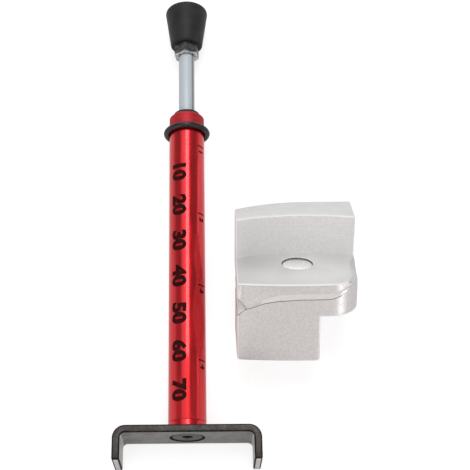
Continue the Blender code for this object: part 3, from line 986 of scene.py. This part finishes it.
def makeRod():
    look = {
        "sides": 128, "edge": 0.25 * mm, "thread": 2.4 * mm, "spigot": 2.0 * mm, "hole": 1.45 * mm,
        "holeDepth": 8 * mm,
    }
    radius = nodeRadius("plunger_rod")
    low = nodeLow("plunger_rod")
    top = nodeHigh("plunger_rod")
    shoulder = nodeLow("bumper")
    collar = nodeLow("jam_nut") - seatGap
    holeEnd = low + look["holeDepth"]
    rings = [
        (0, holeEnd), (look["hole"], holeEnd), (look["hole"], low), (look["spigot"], low),
        (look["spigot"], shoulder), (radius, shoulder), (radius, collar), (look["thread"], collar),
        (look["thread"], top), (0, top),
    ]
    rod = turnedPiece("plungerRod", rings, look)
    finishAlong(rod, "plunger", "rod_plating", "plunger_rod", "rodPlating")


makeBush()
makeTravelRing()
makeRod()
print("Bush, ring and rod done")


# Nut and knob

def makeNut():
    look = {
        "across": 8.0 * mm, "turn": math.radians(-8), "hole": 2.5 * mm, "edge": 0.09 * mm,
        "lead": 0.35 * mm, "cone": math.radians(30), "over": 0.5 * mm, "coneSides": 96,
        "holeSides": 64, "edgeSegments": 2, "edgeAngle": 25,
    }
    low = nodeLow("jam_nut") - seatGap / 2
    high = nodeHigh("jam_nut") + seatGap / 2
    over = look["over"]
    nut = hexPrism("lockNut", look["across"], low, high)
    nut.rotation_euler = (0, 0, look["turn"])
    applyPlace(nut)
    # the corners are turned down to a cone at both ends
    flat = look["across"] / 2
    wide = flat / math.cos(math.pi / 6) + over
    drop = (wide - flat) * math.tan(look["cone"])
    barrel = [(0, low), (flat, low), (wide, low + drop), (wide, high - drop), (flat, high), (0, high)]
    coat(nut, "nutPlating")
    turning = spunPiece("nutTurning", barrel, look["coneSides"])
    coat(turning, "nutTurned")
    combine(nut, turning, "INTERSECT")
    inner = look["hole"]
    mouth = inner + look["lead"]
    hole = [
        (0, low - over), (mouth + over, low - over), (inner, low + look["lead"]),
        (inner, high - look["lead"]), (mouth + over, high + over), (0, high + over),
    ]
    combine(nut, spunPiece("nutHole", hole, look["holeSides"]))
    softenEdges(nut, look["edge"], look["edgeSegments"], look["edgeAngle"])
    smoothShade(nut)
    finishAlong(nut, "plunger", "nut_plating", "jam_nut", "nutPlating", "nutTurned")


def makeKnob():
    look = {
        "sides": 192, "base": 5.65 * mm, "baseRound": 0.8 * mm, "widest": 7.5 * mm, "rim": 1.6 * mm,
        "dome": 1.2 * mm, "pocket": 3.3 * mm, "baseSteps": 6, "rimSteps": 10, "domeSteps": 14,
        "ridge": 0.05 * mm, "ridgeHalf": 0.12 * mm, "shadeAngle": 40,
    }
    low = nodeLow("knob")
    high = nodeHigh("knob")
    widest = high - look["dome"] - look["rim"]
    pocketTop = nodeHigh("knob_insert") + seatGap
    rings = [(0, pocketTop), (look["pocket"], pocketTop), (look["pocket"], low)]
    baseMiddle = (look["base"] - look["baseRound"], low + look["baseRound"])
    rings += arc(baseMiddle, look["baseRound"], -quarterTurn, 0, look["baseSteps"])
    # a fine parting line runs round the knob at its widest
    ridgeFoot = widest - look["ridgeHalf"]
    side = look["widest"] - look["ridge"] / 2
    rings += [(side, ridgeFoot - look["ridgeHalf"]), (look["widest"], ridgeFoot), (side, widest)]
    rimMiddle = (side - look["rim"], widest)
    rings += arc(rimMiddle, look["rim"], 0, quarterTurn, look["rimSteps"])[1:]
    domeBase = widest + look["rim"]
    for step in range(1, look["domeSteps"]):
        angle = quarterTurn * step / look["domeSteps"]
        rings.append((rimMiddle[0] * math.cos(angle), domeBase + look["dome"] * math.sin(angle)))
    rings.append((0, high))
    knob = spunPiece("pressKnob", rings, look["sides"])
    smoothShade(knob, look["shadeAngle"])
    finishAlong(knob, "plunger", "knob_rubber", "knob", "knobRubber")


makeNut()
makeKnob()
print("Nut and knob done")


# Adapter block and magnet

blockLook = {
    "depth": 37.8 * mm, "wallHeight": 13.2 * mm, "ledgeDepth": 25.3 * mm,
    "plate": 10.8 * mm, "foot": 15.2 * mm, "footWidth": 25.7 * mm, "frontRadius": 143 * mm,
    "corner": 9 * mm, "cornerSteps": 36, "backCorner": 0.6 * mm, "backSteps": 5,
    "backRadius": 46 * mm, "backCurveSteps": 20, "wallRadius": 61 * mm, "wallEnd": 4.6 * mm,
    "wallSteps": 18, "frontApex": 0.52, "wallApex": 0.57, "backApex": 0.62, "clear": 1.3 * mm,
    "step": 0.45 * mm, "notchDepth": 2.6 * mm, "notchTop": 5 * mm, "notchTip": 8.4 * mm,
    "notchEdge": 0.16 * mm, "pocketEdge": 0.1 * mm, "edge": 0.4 * mm, "footCorner": 1.1 * mm,
    "underFillet": 0.8 * mm, "over": 2 * mm, "near": 0.05 * mm, "wallFoot": 7 * mm,
    "shadeAngle": 32, "notchSegments": 2,
}
magnetLook = {
    "sides": 128, "edge": 0.22 * mm, "recess": 0.4 * mm, "thickness": 2.4 * mm,
    "room": 0.2 * mm, "pocketDepth": 3.05 * mm, "over": 1 * mm, "pocketRim": 0.3 * mm,
}
reliefLook = {
    "depth": 0.5 * mm, "lipTop": 0.4 * mm, "lipLow": 0.6 * mm, "slopeTop": 3.1 * mm, "slopeMost": 1.9 * mm,
    "slopeLeast": 0.6 * mm, "slopeFrom": 0.12, "slopeTill": 0.34, "shortest": 1.25 * mm,
    "line": 0.27 * mm, "lowRow": 0.45 * mm, "bandRows": 2, "slopeRows": 7, "lowRows": 4,
    "fadeFrom": 0.7 * mm, "fadeTo": 3.2 * mm, "leftFade": 1.6 * mm, "reach": 3 * mm, "curve": 1.3,
    "columns": (0.5 * mm, 0.8 * mm, 1.1 * mm, 1.6 * mm, 2.2 * mm, 3.0 * mm), "columnsEnd": 4 * mm,
    "rowsShare": 0.6, "rowsReach": 0.6 * mm, "belowLedge": 0.1 * mm, "atSide": 0.2 * mm,
    "past": 1 * mm, "roundPast": 0.3 * mm, "upright": 0.3, "forwards": 0.05,
}
roundOver = {
    "radius": 2.3 * mm, "draw": 0.55 * mm, "firstRing": 0.5 * mm, "ring": 0.4 * mm, "rings": 5,
    "turnFrom": math.radians(22), "turnTo": math.radians(75), "fadeFrom": 16 * mm, "fadeTo": 22 * mm,
    "columns": (12 * mm, 14.5 * mm, 16.5 * mm, 17.6 * mm, 18.7 * mm, 19.8 * mm, 21 * mm), "end": 26 * mm,
}
# where on the block each finish goes
sortLook = {
    "facing": 0.9, "skin": 1.5 * mm, "back": 1 * mm, "ledgeTop": 1 * mm, "wallFrom": 0.05 * mm,
    "wallFoot": 6 * mm, "roundFrom": 0.4 * mm, "pocketTop": 0.06 * mm, "pocketLow": 3.1 * mm,
    "lineFrom": 0.06, "lineTill": 0.93, "slopeFrom": 0.2, "slopeTill": 0.9, "slopeShare": 0.85,
    "lipLeast": 0.2 * mm,
}
creaseShares = (
    (0.0, 0.86), (0.068, 0.78), (0.114, 0.73), (0.226, 0.574), (0.338, 0.50), (0.527, 0.458),
    (0.753, 0.458), (0.83, 0.38), (0.91, 0.2), (0.95, 0.06), (1.0, 0.0),
)
# slot 2 holds painted highlight, slot 3 painted shade, and slot 5 the wall top's painted light
blockFinishes = ("blockBlasted", "blockSmooth", "blockPaintedHighlight", "creaseShade", "blockBrushed", "blockTopPaintedLight")
smoothFace, paintedHighlightFace, paintedShadeFace, brushedFace, topFace = range(1, 6)
blockLow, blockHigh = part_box("adapter_block")
blockWide = blockHigh.x - blockLow.x


def smoothStep(value, first, last):
    share = min(max((value - first) / (last - first), 0), 1)
    return share * share * (3 - 2 * share)


def creaseDrop(share):
    # how far below the ledge the crease runs, at a share of the block's width
    for (first, high), (last, low) in zip(creaseShares, creaseShares[1:]):
        if share <= last:
            part = (share - first) / (last - first)
            return (high + (low - high) * part) * blockLook["plate"]
    return 0


def cornerMiddle():
    look = blockLook
    across = blockWide - look["corner"]
    reach = look["frontRadius"] - look["corner"]
    aside = across - blockWide * look["frontApex"]
    return across, look["frontRadius"] - math.sqrt(reach ** 2 - aside ** 2)


def blockPlan():
    # no point lies near the left end or the foot's side, where other edges meet the front
    look = blockLook
    radius = look["frontRadius"]
    apex = blockWide * look["frontApex"]
    cornerX, cornerY = cornerMiddle()
    meeting = math.atan2(cornerX - apex, radius - cornerY)
    columns = [0]
    across = look["clear"] * 3
    while across < apex + radius * math.sin(meeting) - look["step"] / 2:
        if abs(across - look["footWidth"]) > look["clear"]:
            columns.append(across)
        across += look["step"]
    points = [(x, radius - math.sqrt(radius ** 2 - (x - apex) ** 2)) for x in columns]
    points += arc((cornerX, cornerY), look["corner"], meeting - quarterTurn, 0, look["cornerSteps"])
    small = look["backCorner"]
    backCorner = (blockWide - small, look["depth"] - small)
    points += arc(backCorner, small, 0, quarterTurn, look["backSteps"])
    backApex = blockWide * look["backApex"]
    leftEnd = quarterTurn + math.asin(backApex / look["backRadius"])
    back = (backApex, look["depth"] - look["backRadius"])
    points += arc(back, look["backRadius"], quarterTurn, leftEnd, look["backCurveSteps"])
    return points


def wallBase():
    # the foot of the hollow wall, from right to left
    look = blockLook
    end = look["wallEnd"]
    steps = look["wallSteps"]
    inner = [end + (blockWide - end * 2) * (1 - step / steps) for step in range(steps + 1)]
    columns = [blockWide + look["over"]] + inner + [-look["over"]]
    apex = blockWide * look["wallApex"]
    radius = look["wallRadius"]
    return [(x, look["ledgeDepth"] - radius + math.sqrt(radius ** 2 - (x - apex) ** 2)) for x in columns]


def makeBlock():
    look = blockLook
    over = look["over"]
    footBottom = -look["plate"] - look["foot"]
    footDepth = look["depth"] - look["foot"] / math.tan(blockLean)
    block = slab("adapterBlock", blockPlan(), footBottom, -look["plate"], 0, look["wallHeight"])
    ledge = [(-over, -over), (blockWide + over, -over)] + wallBase()
    combine(block, slab("ledgeTool", ledge, 0, look["wallHeight"] + over))
    underPlate = [
        (look["footWidth"], -over), (blockWide + over, -over), (blockWide + over, look["depth"] + over),
        (-over, look["depth"] + over), (-over, footDepth), (look["footWidth"], footDepth),
    ]
    combine(block, slab("footTool", underPlate, footBottom - over, -look["plate"]))
    block.data.materials.clear()
    coat(block, *blockFinishes)
    addLedgeRings(block)
    cutPocket(block)
    # the bevels take the painted highlight
    softenByRule(block, blockEdgeWidth, paintedHighlightFace, clamp=False)
    addFrontRows(block)
    carveFront(block)
    sortFaces(block)
    cutNotch(block)
    smoothShade(block, look["shadeAngle"])
    placeBlock(block)
    finishPiece(block, "adapter", "block_aluminium", ["adapter_block"], *blockFinishes)


def blockEdgeWidth(middle):
    look = blockLook
    near = look["near"]
    if math.hypot(middle.x - magnetMiddle.x, middle.y - magnetMiddle.y) < pocketReach:
        return look["pocketEdge"] if abs(middle.z) < near else 0
    atFoot = abs(middle.x - look["footWidth"]) < near
    if atFoot and abs(middle.z + look["plate"]) < near:
        return look["underFillet"]
    if (atFoot or middle.x < near) and abs(middle.z + look["plate"] + look["foot"]) < near:
        return look["footCorner"]
    atWallFoot = middle.y > look["ledgeDepth"] - look["wallFoot"] and near < middle.x < blockWide - near
    return 0 if atWallFoot and abs(middle.z) < near else look["edge"]


def cutFaces(piece, wanted, point, direction):
    editPicked(piece, "FACE", wanted)
    bpy.ops.mesh.bisect(plane_co=point, plane_no=direction)
    endEdit()


def addLedgeRings(block):
    facing = sortLook["facing"]
    editPicked(block, "FACE", lambda face: face.normal.z > facing and abs(face.center.z) < hair)
    for width in [roundOver["firstRing"]] + [roundOver["ring"]] * roundOver["rings"]:
        bpy.ops.mesh.inset(thickness=width, depth=0)
    endEdit()


def addFrontRows(block):
    look = reliefLook
    facing = sortLook["facing"]
    sideFrom = blockWide - look["atSide"]
    frontTill = blockLook["corner"] + look["past"]
    roundFrom = blockWide - roundOver["radius"] - look["roundPast"]
    roundLow = -roundOver["radius"] - look["past"]

    def onPlate(face):
        level = -blockLook["plate"] < face.center.z < -look["belowLedge"]
        return level and abs(face.normal.z) < look["upright"]

    def onSide(face):
        return onPlate(face) and face.normal.x > facing and face.center.x > sideFrom

    def onFront(face):
        atFront = face.center.y < frontTill and face.normal.y < look["forwards"]
        atFront = atFront and face.center.x > hair * 2
        return onPlate(face) and (atFront or onSide(face) and face.center.y < roundOver["end"])

    def atLeft(face):
        return onPlate(face) and face.center.x < look["columnsEnd"] and face.normal.y < -facing

    def nearRight(face):
        return face.center.x > roundFrom and roundLow < face.center.z < hair

    cutFaces(block, onSide, (0, roundOver["end"], 0), (0, 1, 0))
    for drop in rowPlaces(look["rowsShare"]):
        cutFaces(block, onFront, (0, 0, -drop), (0, 0, 1))
    for across in look["columns"]:
        cutFaces(block, atLeft, (across, 0, 0), (1, 0, 0))
    for deep in roundOver["columns"]:
        cutFaces(block, nearRight, (0, deep, 0), (0, 1, 0))


def rowPlaces(share):
    # where the rows of the front lie below the ledge, at a share of the block's width
    look = reliefLook
    drop = max(creaseDrop(share), look["shortest"])
    top = drop - slopeLength(share, drop)
    places = [look["lipTop"]]
    for first, last, rows in (
        (look["lipLow"], top, look["bandRows"]),
        (top, drop, look["slopeRows"]),
        (drop + look["line"], blockLook["plate"] - look["lowRow"], look["lowRows"]),
    ):
        # the band's last row would be the slope's first
        places += [first + (last - first) * row / rows for row in range(rows + (last != top))]
    return places


def slopeLength(share, drop):
    look = reliefLook
    least = look["slopeLeast"]
    length = min(max(drop - look["slopeTop"], least), look["slopeMost"])
    return least + (length - least) * smoothStep(share, look["slopeFrom"], look["slopeTill"])


def inside(x, y):
    # how far a point lies inside the plan's front, corner or right side, and which way is in
    look = blockLook
    cornerX, cornerY = cornerMiddle()
    if x <= cornerX:
        away = Vector((blockWide * look["frontApex"] - x, look["frontRadius"] - y))
        return look["frontRadius"] - away.length, away.normalized()
    if y <= cornerY:
        away = Vector((cornerX - x, cornerY - y))
        return look["corner"] - away.length, away.normalized()
    return blockWide - x, Vector((-1, 0))


def reliefInset(share, drop):
    # how far the front is set back at a drop below the ledge
    look = reliefLook
    crease = creaseDrop(share)
    strength = smoothStep(crease, look["fadeFrom"], look["fadeTo"])
    strength *= smoothStep(share * blockWide, 0, look["leftFade"])
    if drop < (look["lipTop"] + look["lipLow"]) / 2 or drop > crease:
        return 0
    slope = slopeLength(share, max(crease, look["shortest"]))
    rise = max((drop - crease + slope) / slope, 0)
    return look["depth"] * strength * (1 - rise ** look["curve"])


def roundRadius(x, y, inward):
    # the ledge's right side is rounded off, less and less towards the front and the wall
    turn = math.atan2(-inward.x, inward.y)
    share = smoothStep(turn, roundOver["turnFrom"], roundOver["turnTo"])
    return roundOver["radius"] * share * (1 - smoothStep(y, roundOver["fadeFrom"], roundOver["fadeTo"]))


def carveFront(block):
    # the front's rows slide to follow the crease, what lies above it is set back,
    # and the ledge's right edge is rounded over
    look = reliefLook
    plate = blockLook["plate"]
    reference = rowPlaces(look["rowsShare"])
    for vertex in block.data.vertices:
        x, y, z = vertex.co
        if z > speck or z < -plate - speck or x < -hair:
            continue
        within, inward = inside(x, y)
        if within > look["reach"]:
            continue
        share = min(max(x / blockWide, 0), 1)
        drop = -z
        if within < look["rowsReach"]:
            nearest = min(range(len(reference)), key=lambda row: abs(reference[row] - drop))
            if abs(reference[nearest] - drop) < speck * 2:
                drop = rowPlaces(share)[nearest]
        step = reliefInset(share, drop) * (1 - max(within, 0) / look["reach"]) if drop > 0 else 0
        radius = roundRadius(x, y, inward)
        if within < radius and drop < radius:
            reach = Vector((within - radius, drop - radius))
            if reach.length > radius:
                reach = reach * (radius / reach.length)
                step = radius + reach.x - within
                drop = radius + reach.y
        # the right side draws in a little towards the front
        draw = roundOver["draw"] * smoothStep(x, blockWide - blockLook["corner"], blockWide)
        draw *= 1 - smoothStep(y, 0, roundOver["end"])
        vertex.co = (x + inward.x * step - draw, y + inward.y * step, -drop)
    block.data.update()


def sortFaces(block):
    for face in block.data.polygons:
        if face.material_index == paintedHighlightFace:
            face.material_index = edgeFinish(*face.center)
        else:
            face.material_index = faceFinish(face.material_index, face.normal, *face.center)


def edgeFinish(x, y, z):
    look = blockLook
    back = sortLook["back"]
    atBack = y > look["depth"] - back or x > blockWide - back and y > look["corner"]
    atWallFoot = 0 < z < look["edge"] and y > look["ledgeDepth"] - sortLook["wallFoot"]
    if roundRadius(x, y, inside(x, y)[1]) > sortLook["roundFrom"]:
        return smoothFace
    belowPlate = z <= -look["plate"] + look["edge"]
    # the other bevels keep the painted highlight
    return brushedFace if atWallFoot or atBack or belowPlate and x > look["edge"] else paintedHighlightFace


def faceFinish(finish, normal, x, y, z):
    look = sortLook
    relief = reliefLook
    inPocket = math.hypot(x - magnetMiddle.x, y - magnetMiddle.y) < pocketReach
    # the magnet pocket's wall is painted shade
    if inPocket and -look["pocketLow"] < z < -look["pocketTop"]:
        return paintedShadeFace
    share = min(max(x / blockWide, 0), 1)
    within = inside(x, y)[0]
    drop = creaseDrop(share)
    if within < look["skin"] and drop > relief["shortest"]:
        inLine = drop < -z < drop + relief["line"] and look["lineFrom"] < share < look["lineTill"]
        inLip = relief["lipTop"] < -z < relief["lipLow"]
        inLip = inLip and reliefInset(share, relief["lipLow"]) > look["lipLeast"]
        # the crease line and the lip's underside are painted shade
        if z > -blockLook["plate"] + blockLook["edge"] and (inLine or inLip):
            return paintedShadeFace
        top = drop - slopeLength(share, drop) * look["slopeShare"]
        if top < -z < drop and look["slopeFrom"] < share < look["slopeTill"]:
            return brushedFace
    # the block's left side is painted highlight
    if normal.x < -look["facing"] and x < hair * 2:
        return paintedHighlightFace
    if normal.z > look["facing"]:
        return smoothFace if z < look["ledgeTop"] else topFace
    if z > look["wallFrom"] or within > look["skin"] and z > -blockLook["plate"]:
        return brushedFace
    return finish


def cutNotch(block):
    look = blockLook
    over = look["over"]
    upper = (look["notchTip"] - look["notchTop"]) / look["notchDepth"]
    lower = (look["plate"] - look["notchTip"]) / look["notchDepth"]
    outline = [
        (look["notchDepth"], look["notchTip"]),
        (-over, look["notchTop"] - over * upper),
        (-over, look["plate"] + over * lower),
    ]
    # the notch's own faces are marked by a material until its rim has been found
    tool = slab("notchTool", outline, -over, look["depth"] + over)
    tool.rotation_euler = (-quarterTurn, 0, 0)
    applyPlace(tool)
    marker = newMaterial("notchInside")[0]
    tool.data.materials.append(marker)
    combine(block, tool)
    slots = block.data.materials
    notchIndex = slots.find(marker.name)
    sides = {}
    for face in block.data.polygons:
        for key in face.edge_keys:
            sides.setdefault(key, set()).add(face.material_index == notchIndex)
    editPicked(block, "EDGE", lambda edge: len(sides[edge.key]) == 2)
    # the rim's bevel is painted shade
    bpy.ops.mesh.bevel(
        offset=look["notchEdge"], segments=look["notchSegments"], material=paintedShadeFace, clamp_overlap=False,
    )
    endEdit()
    # the notch's inside is painted highlight
    slots[notchIndex] = finishes["blockPaintedHighlight"]


def blockOrigin():
    # the ledge's front left corner after the lean
    look = blockLook
    drop = look["depth"] * math.sin(blockLean) + look["plate"] * math.cos(blockLean)
    footReach = (look["plate"] + look["foot"]) * math.sin(blockLean)
    return Vector((blockLow.x, blockLow.y + footReach, drop))


# the magnet's middle in the upright block's own directions
magnetMiddle = Matrix.Rotation(blockLean, 4, "X") @ (boxMiddle("magnet") - blockOrigin())
magnetRadius = nodeRadius("magnet")
pocketReach = magnetRadius + magnetLook["pocketRim"]


def cutPocket(block):
    look = magnetLook
    radius = magnetRadius + look["room"]
    low = -look["pocketDepth"]
    rings = [(0, low), (radius, low), (radius, look["over"]), (0, look["over"])]
    tool = spunPiece("pocketTool", rings, look["sides"])
    tool.location = (magnetMiddle.x, magnetMiddle.y, 0)
    applyPlace(tool)
    coat(tool, "blockSmooth")
    combine(block, tool)


def placeBlock(piece):
    piece.rotation_euler = (-blockLean, 0, 0)
    piece.location = blockOrigin()
    applyPlace(piece)


def makeMagnet():
    look = magnetLook
    top = -look["recess"]
    low = top - look["thickness"]
    rings = [(0, low), (magnetRadius, low), (magnetRadius, top), (0, top)]
    magnet = turnedPiece("magnetDisc", rings, look)
    magnet.location = (magnetMiddle.x, magnetMiddle.y, 0)
    applyPlace(magnet)
    placeBlock(magnet)
    finishPiece(magnet, "adapter", "magnet_plating", ["magnet"], "magnetPlating")


makeBlock()
makeMagnet()
print("Block and magnet done")


# Inner pieces keep their solids

innerFinishes = {
    "spring": "innerSteel", "spring_seat": "innerSteel", "lock_washer": "innerSteel",
    "piston_screw": "innerSteel", "piston": "turnedBrass", "knob_insert": "turnedBrass",
    "bumper": "ringRubber",
}
for innerName, innerFinish in innerFinishes.items():
    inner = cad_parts[innerName]
    inner.data.materials.clear()
    coat(inner, innerFinish)
